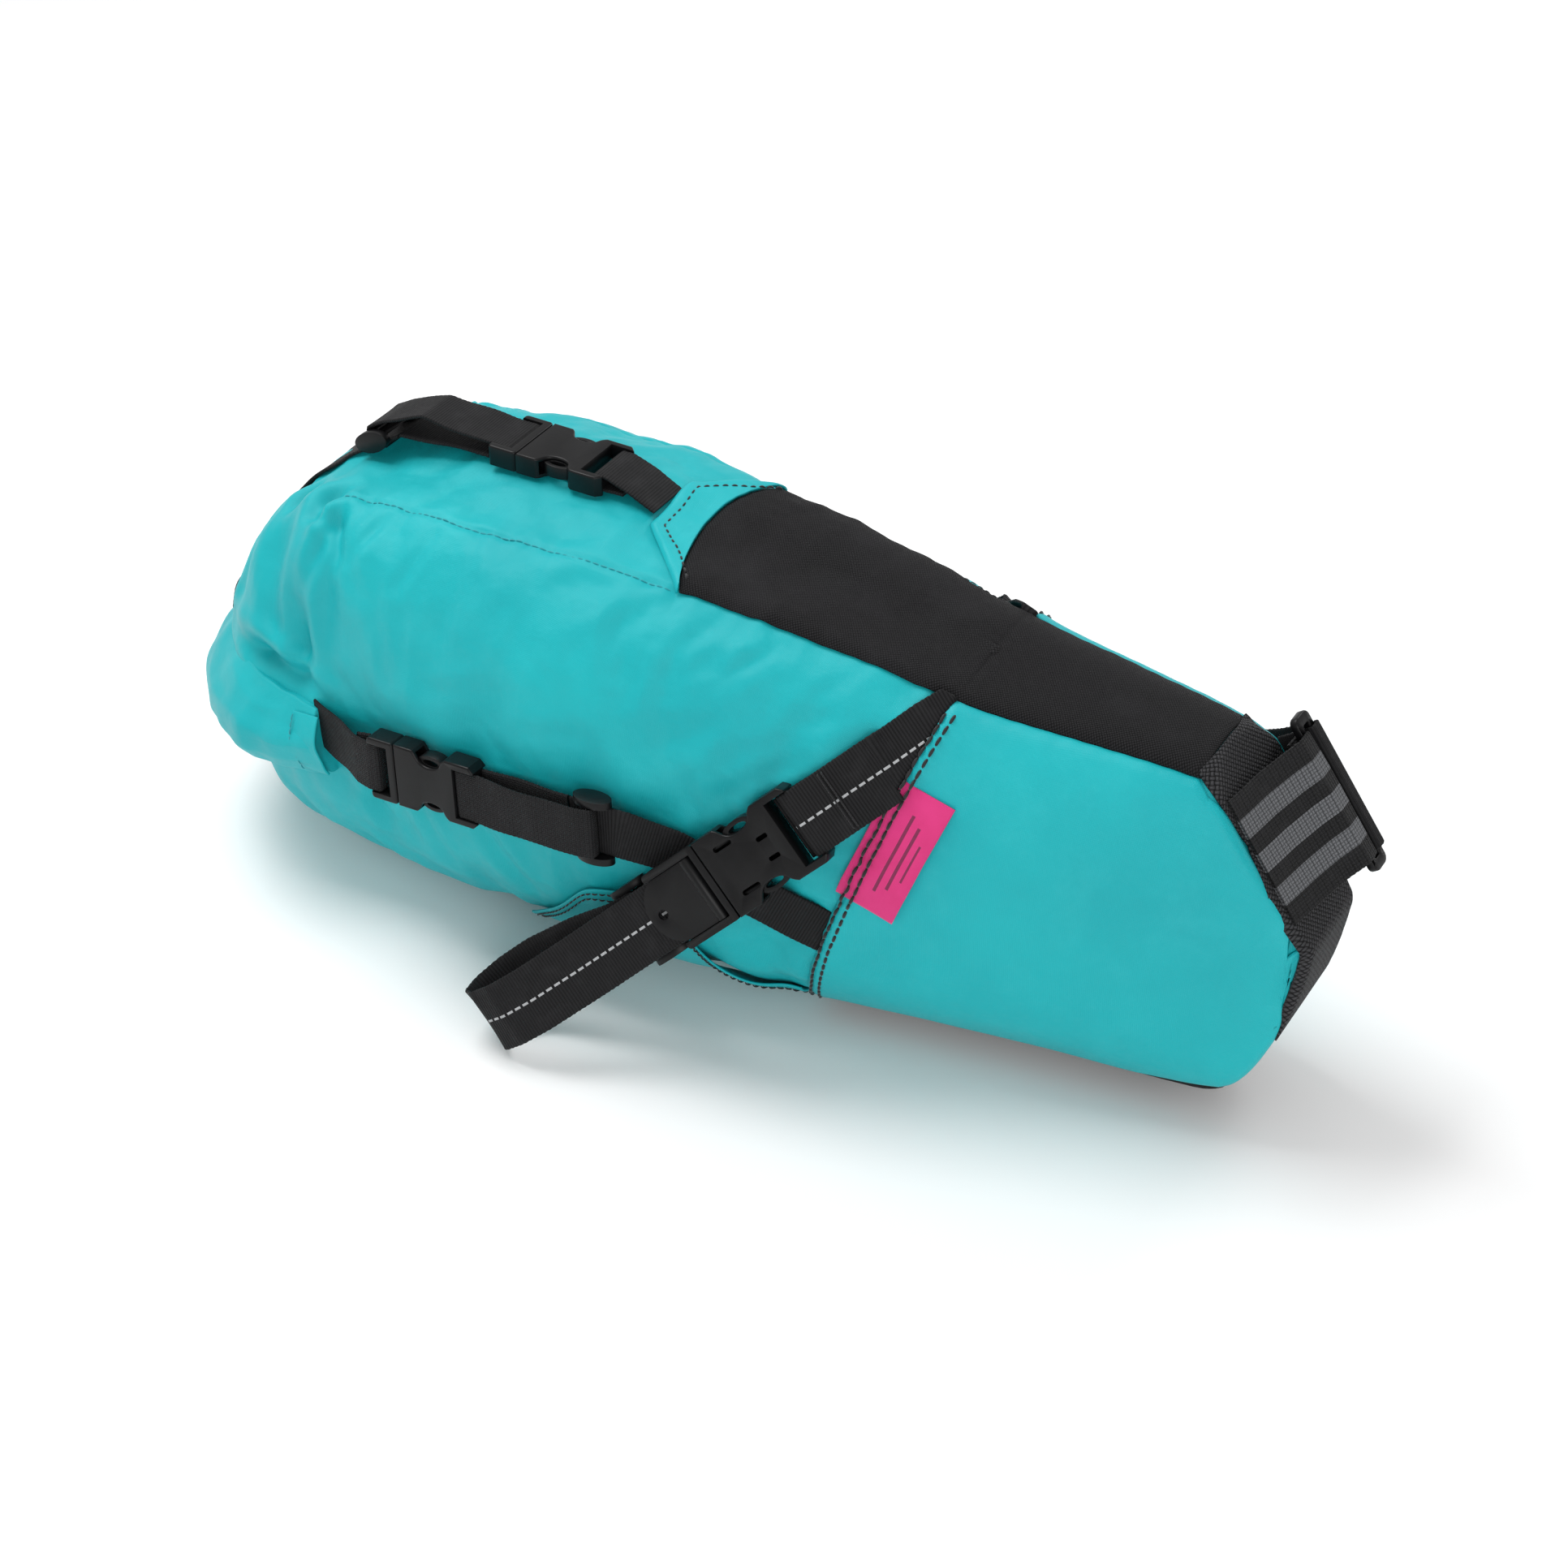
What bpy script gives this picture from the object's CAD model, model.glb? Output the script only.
import math

import bpy
import numpy as np
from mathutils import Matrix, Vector
from mathutils.bvhtree import BVHTree


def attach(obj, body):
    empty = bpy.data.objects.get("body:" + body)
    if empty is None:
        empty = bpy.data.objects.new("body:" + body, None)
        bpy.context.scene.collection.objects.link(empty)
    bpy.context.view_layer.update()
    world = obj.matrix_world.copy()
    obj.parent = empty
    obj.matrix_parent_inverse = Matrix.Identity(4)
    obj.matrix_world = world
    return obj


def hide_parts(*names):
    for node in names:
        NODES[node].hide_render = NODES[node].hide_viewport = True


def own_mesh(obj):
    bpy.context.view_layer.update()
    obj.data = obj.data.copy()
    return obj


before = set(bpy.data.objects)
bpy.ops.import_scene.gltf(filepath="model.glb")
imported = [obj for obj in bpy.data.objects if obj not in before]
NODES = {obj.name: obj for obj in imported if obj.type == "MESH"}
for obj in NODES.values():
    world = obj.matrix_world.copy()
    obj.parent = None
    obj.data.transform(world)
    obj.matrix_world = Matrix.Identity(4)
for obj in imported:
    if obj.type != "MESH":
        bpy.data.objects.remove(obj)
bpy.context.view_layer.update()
MM = 0.001
SIDES = (("right", 1.0), ("left", -1.0))


# ------------------------------------------------------------------ materials
class Shader:
    """A node tree being wired up, one principled shader at its end."""

    def __init__(self, name, rough=0.6, specular=0.4, sheen=0.0):
        self.mat = bpy.data.materials.new(name)
        self.mat.use_nodes = True
        self.tree = self.mat.node_tree
        self.bsdf = self.tree.nodes["Principled BSDF"]
        self.bsdf.inputs["Roughness"].default_value = rough
        self.bsdf.inputs["Specular IOR Level"].default_value = specular
        self.bsdf.inputs["Sheen Weight"].default_value = sheen

    def node(self, kind, **settings):
        made = self.tree.nodes.new(kind)
        for key, value in settings.items():
            setattr(made, key, value)
        return made

    def link(self, a, b):
        if isinstance(a, (int, float, tuple)):
            b.default_value = a
        else:
            self.tree.links.new(a, b)

    def math(self, how, a, b=0.0):
        made = self.node("ShaderNodeMath", operation=how)
        self.link(a, made.inputs[0])
        self.link(b, made.inputs[1])
        return made.outputs[0]

    def plus(self, a, b):
        return self.math("ADD", a, b)

    def times(self, a, b):
        return self.math("MULTIPLY", a, b)

    def size(self, a):
        return self.math("ABSOLUTE", a)

    def uv(self):
        where = self.node("ShaderNodeUVMap", uv_map="UVMap")
        split = self.node("ShaderNodeSeparateXYZ")
        self.link(where.outputs[0], split.inputs[0])
        return split.outputs[0], split.outputs[1]

    def noise(self, scale, detail=3.0, rough=0.55):
        made = self.node("ShaderNodeTexNoise")
        made.inputs["Scale"].default_value = scale
        made.inputs["Detail"].default_value = detail
        made.inputs["Roughness"].default_value = rough
        self.link(self.node("ShaderNodeTexCoord").outputs["Object"], made.inputs["Vector"])
        return made.outputs[0]

    def ramp(self, fac, low, high):
        made = self.node("ShaderNodeMapRange", clamp=True)
        self.link(fac, made.inputs[0])
        made.inputs[1].default_value = low
        made.inputs[2].default_value = high
        return made.outputs[0]

    def mix(self, fac, a, b):
        made = self.node("ShaderNodeMix", data_type="RGBA")
        self.link(fac, made.inputs["Factor"])
        self.link(a if not isinstance(a, tuple) else (*a, 1.0)[:4], made.inputs["A"])
        self.link(b if not isinstance(b, tuple) else (*b, 1.0)[:4], made.inputs["B"])
        return made.outputs["Result"]

    def color(self, value):
        self.link(value, self.bsdf.inputs["Base Color"])

    def rough(self, value):
        self.link(value, self.bsdf.inputs["Roughness"])

    def bump(self, height, depth, strength=1.0, before=None):
        made = self.node("ShaderNodeBump")
        made.inputs["Strength"].default_value = strength
        made.inputs["Distance"].default_value = depth
        self.link(height, made.inputs["Height"])
        if before is not None:
            self.link(before, made.inputs["Normal"])
        self.link(made.outputs[0], self.bsdf.inputs["Normal"])
        return made.outputs[0]

    def plain_weave(self, warp, weft, turn=0.0):
        """Height 0 to 1 of a plain weave with these thread spacings, and its checker."""
        u, v = self.uv()
        if turn:
            c, s = math.cos(turn), math.sin(turn)
            u, v = (
                self.plus(self.times(u, c), self.times(v, s)),
                self.math("SUBTRACT", self.times(v, c), self.times(u, s)),
            )
        a = self.math("SINE", self.times(u, math.pi / warp))
        b = self.math("SINE", self.times(v, math.pi / weft))
        over = self.times(a, b)
        check = self.math("GREATER_THAN", over, 0.0)
        up = self.size(a)
        across = self.size(b)
        one = self.times(check, up)
        two = self.times(self.math("SUBTRACT", 1.0, check), across)
        both = self.times(up, across)
        return self.plus(self.plus(one, two), both), check


def coated_cloth():
    s = Shader("coated_cloth", 0.42, 0.30, 0.015)
    weave, check = s.plain_weave(0.00046, 0.00046)
    broad = s.noise(14.0, 4.0)
    fine = s.noise(240.0, 5.0, 0.7)
    chalk = s.ramp(s.noise(38.0, 8.0, 0.72), 0.5, 0.78)
    base = s.mix(s.ramp(broad, 0.35, 0.68), (0.002, 0.375, 0.415), (0.003, 0.435, 0.47))
    base = s.mix(s.times(chalk, 0.30), base, (0.035, 0.52, 0.56))
    base = s.mix(s.times(check, 0.10), base, (0.002, 0.31, 0.35))
    s.color(base)
    s.rough(s.plus(0.36, s.times(fine, 0.22)))
    small = s.bump(weave, 0.00006, 0.5)
    s.bump(s.noise(95.0, 4.0, 0.6), 0.0011, 0.42, small)
    return s.mat


def textured_cloth():
    s = Shader("textured_cloth", 0.72, 0.10, 0.015)
    weave, _ = s.plain_weave(0.00082, 0.00082, math.radians(38))
    base = s.mix(s.ramp(weave, 0.3, 1.9), (0.003, 0.003, 0.0033), (0.021, 0.0205, 0.022))
    base = s.mix(s.times(s.ramp(s.noise(30.0, 5.0), 0.45, 0.8), 0.4), base, (0.03, 0.03, 0.033))
    s.color(base)
    s.rough(s.plus(0.6, s.times(s.noise(300.0), 0.25)))
    small = s.bump(weave, 0.00022, 0.7)
    s.bump(s.noise(60.0, 3.0), 0.0008, 0.3, small)
    return s.mat


def mesh_cloth():
    s = Shader("mesh_cloth", 0.7, 0.16, 0.02)
    weave, _ = s.plain_weave(0.0016, 0.0013, math.radians(45))
    base = s.mix(s.ramp(weave, 0.35, 1.5), (0.002, 0.002, 0.0025), (0.05, 0.05, 0.054))
    s.color(base)
    s.rough(s.plus(0.55, s.times(s.noise(400.0), 0.3)))
    s.bump(weave, 0.0006, 0.9)
    return s.mat


def webbing(name, rib, depth, shade, grid=False, tracer=False, stripes=False):
    """Woven tape: ribs across it and lines along it, with tracer dashes or stripes if asked."""
    s = Shader(name, 0.62, 0.12, 0.015)
    u, v = s.uv()
    rows = s.size(s.math("SINE", s.times(u, math.pi / rib)))
    line_gap = 0.0016 if grid else 0.0007
    lines = s.size(s.math("SINE", s.times(v, math.pi / line_gap)))
    if grid or stripes:
        thread_gap = 0.0013 if stripes else 0.00085
        weave, _ = s.plain_weave(thread_gap, thread_gap)
        height = s.plus(s.times(weave, 0.7), s.times(rows, 0.3))
    else:
        height = s.plus(s.times(rows, 0.8), s.times(lines, 0.2))
    dark = tuple(0.28 * c for c in shade)
    base = s.mix(s.ramp(height, 0.1, 1.0), dark, shade)
    worn = s.times(s.ramp(s.noise(120.0, 4.0), 0.5, 0.8), 0.35)
    base = s.mix(worn, base, tuple(2.0 * c for c in shade))
    if tracer:
        near = s.math("LESS_THAN", s.size(v), 0.00045)
        step = s.math("FRACT", s.math("DIVIDE", u, 0.0036))
        dash = s.math("LESS_THAN", s.size(s.math("SUBTRACT", step, 0.5)), 0.34)
        mark = s.times(near, dash)
        base = s.mix(mark, base, (0.40, 0.41, 0.42))
        height = s.plus(height, s.times(mark, 0.8))
    if stripes:
        band = s.math("FRACT", s.plus(s.math("DIVIDE", v, 0.0135), 0.5))
        inside = s.math("LESS_THAN", s.size(s.math("SUBTRACT", band, 0.5)), 0.27)
        inside = s.times(inside, s.math("LESS_THAN", s.size(v), 0.0205))
        grey = s.mix(s.ramp(height, 0.1, 1.2), (0.05, 0.052, 0.056), (0.165, 0.17, 0.18))
        base = s.mix(inside, base, grey)
    s.color(base)
    s.rough(s.plus(0.5, s.times(s.noise(500.0), 0.25)))
    s.bump(height, depth, 0.8)
    return s.mat


def moulded_plastic():
    s = Shader("moulded_plastic", 0.33, 0.22)
    fine = s.noise(900.0, 2.0)
    broad = s.noise(60.0, 4.0)
    s.color(s.mix(s.ramp(broad, 0.3, 0.75), (0.0025, 0.0025, 0.003), (0.006, 0.006, 0.0065)))
    s.rough(s.plus(0.27, s.times(broad, 0.2)))
    s.bump(fine, 0.00005, 0.35)
    return s.mat


def label_cloth():
    """Generic sewn tag: pink, with plain bars in place of any lettering."""
    s = Shader("label_cloth", 0.6, 0.3, 0.2)
    u, v = s.uv()
    weave, _ = s.plain_weave(0.0005, 0.0005)
    base = s.mix(s.ramp(s.noise(60.0, 4.0), 0.3, 0.7), (0.70, 0.022, 0.185), (0.80, 0.035, 0.235))
    for middle, half, reach in ((0.52, 0.026, 0.33), (0.68, 0.026, 0.27), (0.82, 0.018, 0.16)):
        bar = s.math("LESS_THAN", s.size(s.math("SUBTRACT", u, middle)), half)
        long = s.math("LESS_THAN", s.size(s.math("SUBTRACT", v, 0.5)), reach)
        base = s.mix(s.times(s.times(bar, long), 0.75), base, (0.05, 0.012, 0.03))
    s.color(base)
    s.bump(weave, 0.00008, 0.5)
    return s.mat


def thread(name, color):
    s = Shader(name, 0.55, 0.35, 0.2)
    s.color(s.mix(s.noise(1500.0, 2.0), color, tuple(1.7 * c for c in color)))
    s.bump(s.noise(2500.0, 2.0), 0.0001, 0.5)
    return s.mat


def stiffener_sheet():
    s = Shader("stiffener_sheet", 0.5, 0.4)
    s.color(s.mix(s.noise(90.0, 4.0), (0.55, 0.55, 0.53), (0.7, 0.7, 0.68)))
    s.bump(s.noise(700.0), 0.0001, 0.4)
    return s.mat


TEAL = coated_cloth()
CORDURA = textured_cloth()
MESH = mesh_cloth()
RIBBED = webbing("webbing_ribbed", 0.0011, 0.00022, (0.015, 0.015, 0.016))
GRID = webbing("webbing_grid", 0.0018, 0.00035, (0.016, 0.016, 0.017), grid=True)
TRACER = webbing("webbing_tracer", 0.0012, 0.00028, (0.015, 0.015, 0.016), tracer=True)
STRIPED = webbing("webbing_striped", 0.0026, 0.0006, (0.020, 0.020, 0.021), stripes=True)
HOOK = webbing("webbing_hook", 0.0008, 0.0002, (0.012, 0.012, 0.013))
PLASTIC = moulded_plastic()
LABEL = label_cloth()
BLACK_THREAD = thread("thread_black", (0.004, 0.004, 0.005))
TEAL_THREAD = thread("thread_teal", (0.004, 0.20, 0.23))
SHEET = stiffener_sheet()
CLOTHS = {"coated_cloth": TEAL, "textured_cloth": CORDURA, "mesh_cloth": MESH, "label_cloth": LABEL}
# width in mm, material and slot of each kind of tape
PLAIN_TAPE = (20, RIBBED, "webbing")
GRID_TAPE = (20, GRID, "webbing")
TRACER_TAPE = (25, TRACER, "tracer_webbing")
TAIL_TAPE = (24.6, RIBBED, "tracer_webbing")
STRIPED_TAPE = (50, STRIPED, "striped_webbing")
HOOK_TAPE = (50, HOOK, "webbing")


# ------------------------------------------------------------------ mesh helpers
def put(name, verts, faces, uvs, material, body):
    """A mesh object from points in metres that rides on a body."""
    mesh = bpy.data.meshes.new(name)
    mesh.from_pydata([tuple(map(float, p)) for p in verts], [], faces)
    mesh.polygons.foreach_set("use_smooth", [True] * len(mesh.polygons))
    if uvs is not None:
        layer = mesh.uv_layers.new(name="UVMap")
        index = np.zeros(len(mesh.loops), np.int32)
        mesh.loops.foreach_get("vertex_index", index)
        layer.data.foreach_set("uv", np.asarray(uvs, np.float32)[index].ravel())
    mesh.materials.append(material)
    mesh.update()
    made = bpy.data.objects.new(name, mesh)
    bpy.context.scene.collection.objects.link(made)
    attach(made, body)
    return made


def grid_faces(nu, nv, flip=False):
    i, j = np.meshgrid(np.arange(nu - 1), np.arange(nv - 1), indexing="ij")
    a = (i * nv + j).ravel()
    quads = np.stack([a, a + 1, a + nv + 1, a + nv], 1)
    if flip:
        quads = quads[:, ::-1]
    return quads.tolist()


def put_cloth(name, points, uv, slot, flip=False, thick=0.0):
    """A sheet of cloth that rides on the bag, from a grid of points in mm."""
    nu, nv = points.shape[:2]
    faces = grid_faces(nu, nv, flip)
    made = put(name, points.reshape(-1, 3) * MM, faces, uv.reshape(-1, 2), CLOTHS[slot], "bag")
    if thick:
        solid = made.modifiers.new("cloth", "SOLIDIFY")
        solid.thickness = thick * MM
        solid.offset = -1.0
    return made


def mirrored(points):
    return points * np.array([1.0, -1.0, 1.0])


def on_side(sign, points, normals):
    """What was built on the right side, or its mirror image when the sign is negative."""
    return (points, normals) if sign > 0 else (mirrored(points), mirrored(normals))


def flat_uv(u, v):
    return np.stack(np.broadcast_arrays(u, v), -1) * MM


def run_length(points):
    """Distance along a line of points, at each of them."""
    steps = np.linalg.norm(np.diff(points, axis=0), axis=1)
    return np.concatenate([[0], np.cumsum(steps)])


def between(rows):
    """Each inner row evened out with its two neighbours."""
    return (rows[:-2] + 2 * rows[1:-1] + rows[2:]) / 4


def even_round(table):
    """A table over (places along, ways round) with its small ripples evened out."""
    table = (np.roll(table, 1, 1) + 2 * table + np.roll(table, -1, 1)) / 4
    table[1:-1] = between(table)
    return table


def unit(v):
    v = np.asarray(v, float)
    return v / np.maximum(np.linalg.norm(v, axis=-1, keepdims=True), 1e-12)


def rumple(points, size, seed, waves=14):
    """Smooth seeded unevenness, about -1 to 1, with features of this size in mm."""
    rng = np.random.default_rng(seed)
    total = np.zeros(points.shape[:-1])
    for _ in range(waves):
        way = unit(rng.normal(size=3)) * (2 * math.pi / size) * rng.uniform(0.6, 1.5)
        total += np.sin(points @ way + rng.uniform(0, 2 * math.pi))
    return total / math.sqrt(waves)


def to_segment(points, a, b):
    """Distance from the line a to b, and the share of the way along it."""
    a, b = np.array(a, float), np.array(b, float)
    d = b - a
    t = np.clip(((points - a) @ d) / (d @ d), 0, 1)
    return np.linalg.norm(points - (a + t[..., None] * d), axis=-1), t


# ------------------------------------------------------------------ the stuffed bag's form
X_LOW, X_HIGH, X_STEP = -222.0, 223.0, 1.25
XS = np.arange(X_LOW, X_HIGH + 0.1, X_STEP)
TURNS = 360
THS = np.linspace(-90.0, 270.0, TURNS + 1)
CORE_X = [-222, -204, -176, -88, 44, 100, 150, 172, 198, 214, 219, 223]
CORE_Z = [60, 72, 78, 86, 82, 78, 75, 74, 70, 72, 78, 86]


def core(x):
    return np.interp(x, CORE_X, CORE_Z)


def core_points(p):
    """The core line's point at each point's place along the bag."""
    return np.stack([p[..., 0], 0 * p[..., 1], core(p[..., 0])], -1)


def shell_tree():
    """The CAD shell's surface, to cast rays at."""
    mesh = NODES["body_shell"].data
    faces = [tuple(p.vertices) for p in mesh.polygons]
    return BVHTree.FromPolygons([v.co for v in mesh.vertices], faces)


def measure_form():
    """Distance of the cloth from the bag's core line, for each place along and each way round."""
    tree = shell_tree()
    reach = np.zeros((len(XS), TURNS + 1))
    for i, x in enumerate(XS):
        inside = min(max(x, X_LOW + 0.4), X_HIGH - 0.8)
        middle = Vector((inside, 0.0, float(core(inside)))) * MM
        last = 5.0
        for j, angle in enumerate(np.radians(THS)):
            way = Vector((0.0, math.cos(angle), math.sin(angle)))
            hit = tree.ray_cast(middle + way * 0.2, -way)[0]
            if hit is not None and (hit - middle).dot(way) > 0:
                last = (hit - middle).dot(way) / MM
            reach[i, j] = last
    reach[:, -1] = reach[:, 0]
    for _ in range(2):
        reach[:, :-1] = even_round(reach[:, :-1])
        reach[:, -1] = reach[:, 0]
    return reach


REACH = measure_form()


def look_up(table, x, th):
    """Value of a table over (XS, THS) between its points."""
    fx = np.clip((np.asarray(x, float) - X_LOW) / X_STEP, 0, len(XS) - 1.001)
    ft = np.clip((np.asarray(th, float) + 90.0) / (360.0 / TURNS), 0, TURNS - 0.001)
    i, j = fx.astype(int), ft.astype(int)
    a, b = fx - i, ft - j
    return (
        table[i, j] * (1 - a) * (1 - b) + table[i + 1, j] * a * (1 - b)
        + table[i, j + 1] * (1 - a) * b + table[i + 1, j + 1] * a * b
    )


def place_at(table, x, th):
    x, th = np.broadcast_arrays(np.asarray(x, float), np.asarray(th, float))
    r = look_up(table, x, th)
    angle = np.radians(th)
    return np.stack([x, r * np.cos(angle), core(x) + r * np.sin(angle)], -1)


GRID_X, GRID_TH = np.meshgrid(XS, THS, indexing="ij")
FORM = place_at(REACH, GRID_X, GRID_TH)


def seam_x(z):
    """Where the side panel's rear seam runs, by height."""
    return 45 + (z - 14) * 0.3333 + (z - 14) * (z - 95) * 0.00015


def panel_half(x):
    """Half width of the top panel."""
    return np.interp(x, [-12, 97, 178, 200], [38, 29, 19, 17.6])


def top_seam_y(x):
    """How far out the seam along the top of the bag's rear part runs."""
    return np.interp(x, [-157, -100, -12], [38, 43, 38.5])


def folds(p):
    """How far the cloth stands in or out from the even form, in mm, at points in mm."""
    x, y, z = p[..., 0], np.abs(p[..., 1]), p[..., 2]
    q = np.stack([x, y, z], -1)
    # soft waves, ridges and creases, strongest behind the side panels
    behind = 1 / (1 + np.exp((x - seam_x(z)) / 4))
    out = 0.55 * rumple(p, 70, 3) * (0.3 + 0.7 * behind)
    out += 0.20 * rumple(p, 24, 4) * (0.35 + 0.65 * behind)
    ridged = 1 - np.abs(rumple(p * [1.5, 0.8, 0.7], 46, 7))
    out += behind * 0.55 * (np.clip(ridged, -0.5, 1) - 0.4)
    crisp = np.abs(rumple(p * [1.25, 0.8, 0.8], 30, 12))
    crisp = crisp + 0.5 * np.abs(rumple(p * [0.9, 1.2, 1.1], 17, 13))
    patchy = 0.5 + 0.5 * np.tanh(rumple(p, 95, 14))
    out += behind * 0.5 * (0.75 - np.minimum(crisp, 1.1)) * patchy
    rear = 1 / (1 + np.exp((x + 150) / 10))
    out += rear * 1.5 * rumple(p * [1.6, 1.6, 0.5], 36, 9)
    for a, b, depth, width in FOLDS:
        gap, t = to_segment(q, a, b)
        fade = np.sin(np.pi * np.clip(0.12 + 0.76 * t, 0, 1)) ** 0.8
        valley = np.exp(-((gap / width) ** 1.25))
        shoulder = np.exp(-(((gap - 1.8 * width) / width) ** 2))
        out += fade * depth * (0.5 * shoulder - valley)
    # seams: a line drawn in, with puckers beside it
    top_seam = np.abs(y - top_seam_y(x))
    on_top = (z > 100) * (x < -12) * (x > -160)
    line = np.exp(-((top_seam / 1.0) ** 2))
    out -= on_top * line * 1.5
    pucker = np.sin(x / 1.9 + 2.5 * np.sin(x / 11.0)) * np.exp(-top_seam / 4.0)
    out += on_top * np.exp(-((top_seam / 7.0) ** 2)) * (0.35 + 0.45 * pucker)
    edge = x - seam_x(z)
    pucker = np.sin(z / 2.1 + 2.2 * np.sin(z / 13.0) + 1.5 * np.sign(p[..., 1]))
    out += (edge < 0) * (z > 12) * (z < 162) * np.exp(edge / 9.0) * (0.55 * pucker + 0.5)
    out -= np.exp(-(((edge + 1.0) / 2.0) ** 2)) * (z > 12) * (z < 163) * 0.5
    rim = np.abs(y - panel_half(x))
    out += (x > -14) * (x < 176) * (z > 110) * np.exp(-rim / 3.2) * 0.16 * np.sin(x / 1.4)
    return out


# folds on the right side: from, to, depth and width in mm
FOLDS = [
    ((-164, 34, 164), (-163, 66, 100), 7.5, 5.0), ((-183, 26, 151), (-188, 53, 92), 6.5, 5.0),
    ((-200, 12, 134), (-207, 34, 92), 4.5, 5.0), ((-174, 10, 158), (-196, 14, 134), 2.2, 5.0),
    ((-146, 75, 92), (-184, 58, 95), 7.0, 4.5), ((-184, 58, 95), (-212, 32, 91), 8.0, 5.0),
    ((-168, 44, 152), (-152, 52, 158), 2.4, 2.6), ((-92, 44, 168), (-84, 60, 152), 1.3, 2.6),
    ((-24, 40, 165), (-36, 56, 150), 1.4, 2.6), ((-20, 44, 162), (-22, 62, 142), 1.2, 2.4),
    ((6, 42, 163), (-8, 58, 146), 1.0, 2.8), ((32, 40, 161), (14, 56, 148), 1.0, 2.8),
    ((60, 38, 159), (44, 54, 146), 1.0, 2.8), ((-60, 42, 168), (-52, 58, 152), 0.9, 2.6),
    ((-110, 74, 70), (-96, 70, 44), 1.4, 3.6), ((-76, 75, 66), (-60, 70, 42), 1.2, 3.4),
    ((-134, 70, 66), (-124, 68, 40), 1.6, 3.6), ((-152, 46, 162), (-160, 62, 132), 3.0, 3.2),
    ((-156, 40, 164), (-146, 60, 146), 2.0, 2.6), ((-132, 46, 166), (-140, 60, 150), 1.6, 2.6),
    ((-108, 48, 166), (-116, 62, 148), 1.4, 2.8), ((-150, 58, 150), (-147, 74, 104), 2.6, 4.0),
    ((-128, 62, 150), (-118, 76, 112), 1.2, 4.0), ((-150, 50, 158), (-141, 67, 118), 1.5, 4.5),
    ((-157, 44, 163), (-134, 62, 140), 1.3, 4.0), ((-12, 40, 166), (-40, 62, 146), 1.0, 4.0),
    ((-12, 40, 166), (-17, 66, 136), 0.9, 3.6), ((-22, 40, 166), (-64, 52, 160), 0.8, 3.4),
    ((-92, 46, 166), (-98, 66, 138), 0.8, 5.0), ((-66, 44, 167), (-62, 64, 143), 0.6, 4.0),
    ((30, 58, 140), (-10, 70, 118), 0.9, 5.0), ((62, 62, 118), (8, 73, 102), 1.1, 5.0),
    ((58, 64, 100), (14, 74, 92), 0.8, 4.0), ((-150, 66, 60), (-110, 72, 44), 1.6, 6.0),
    ((-150, 62, 46), (-96, 64, 26), 1.3, 6.0), ((-96, 75, 70), (-84, 66, 30), 0.9, 6.0),
    ((-170, 56, 50), (-140, 54, 24), 2.2, 6.5), ((-118, 30, 171), (-126, 48, 163), 0.8, 3.5),
    ((-70, 12, 173), (-54, 28, 172), 0.7, 3.5), ((60, 50, 152), (22, 52, 156), 1.2, 3.6),
    ((84, 44, 155), (44, 56, 140), 1.3, 3.4), ((20, 50, 157), (-4, 60, 146), 0.8, 3.6),
    ((50, 60, 128), (20, 68, 108), 1.4, 3.2), ((54, 66, 96), (26, 70, 112), 1.2, 3.2),
    ((47, 64, 60), (20, 68, 50), 1.2, 3.4), ((-60, 75, 112), (-30, 75, 120), 0.7, 3.2),
    ((-100, 76, 116), (-62, 75, 128), 0.7, 3.6), ((40, 66, 78), (2, 74, 62), 0.8, 4.5),
    ((78, 50, 150), (52, 58, 140), 0.7, 3.5),
]
# the flat the bag rests on stays flat, and the nose's tip even and a little slimmer
OFF_FLOOR = np.clip(FORM[..., 2] / 18.0, 0, 1)
DROP = folds(FORM) * OFF_FLOOR * np.clip((206 - FORM[..., 0]) / 14.0, 0, 1)
DROP -= 1.1 * np.clip((FORM[..., 0] - 198) / 12.0, 0, 1) + 1.6 * np.clip((FORM[..., 0] - 212) / 6.0, 0, 1)
CLOTH = REACH + DROP
SIM_FRAMES = 22


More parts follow.
